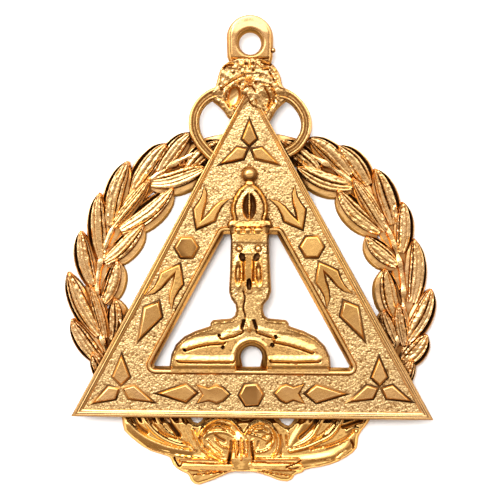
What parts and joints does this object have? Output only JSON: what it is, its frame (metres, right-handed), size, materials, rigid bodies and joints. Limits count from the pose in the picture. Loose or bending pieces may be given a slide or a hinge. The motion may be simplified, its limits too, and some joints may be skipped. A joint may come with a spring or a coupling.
{
  "type": "lodge collar jewel",
  "caption": "Gilt collar jewel: an open triangle with a candlestick between its legs, pinned over a laurel wreath with a bow, with a shell crest and a suspension eye.",
  "frame": {"origin": "middle of the jewel's bounding box, in the plane of the wreath's flat back, which it lies on", "axes": "+Y towards the suspension eye, +Z out of the face, +X to the right as the face is seen"},
  "size_m": [0.0598, 0.0759, 0.0058],
  "materials": {
    "frame_gilt": "polished gilt casting with a stippled ground",
    "wreath_gilt": "polished gilt casting, a little rosier",
    "rivet_brass": "plain turned pin"
  },
  "bodies": {
    "root": {"triangle_frame": "frame_gilt", "laurel_wreath": "wreath_gilt", "rivet_upper_left": "rivet_brass", "rivet_upper_right": "rivet_brass", "rivet_lower_left": "rivet_brass", "rivet_lower_right": "rivet_brass"}
  },
  "joints": []
}
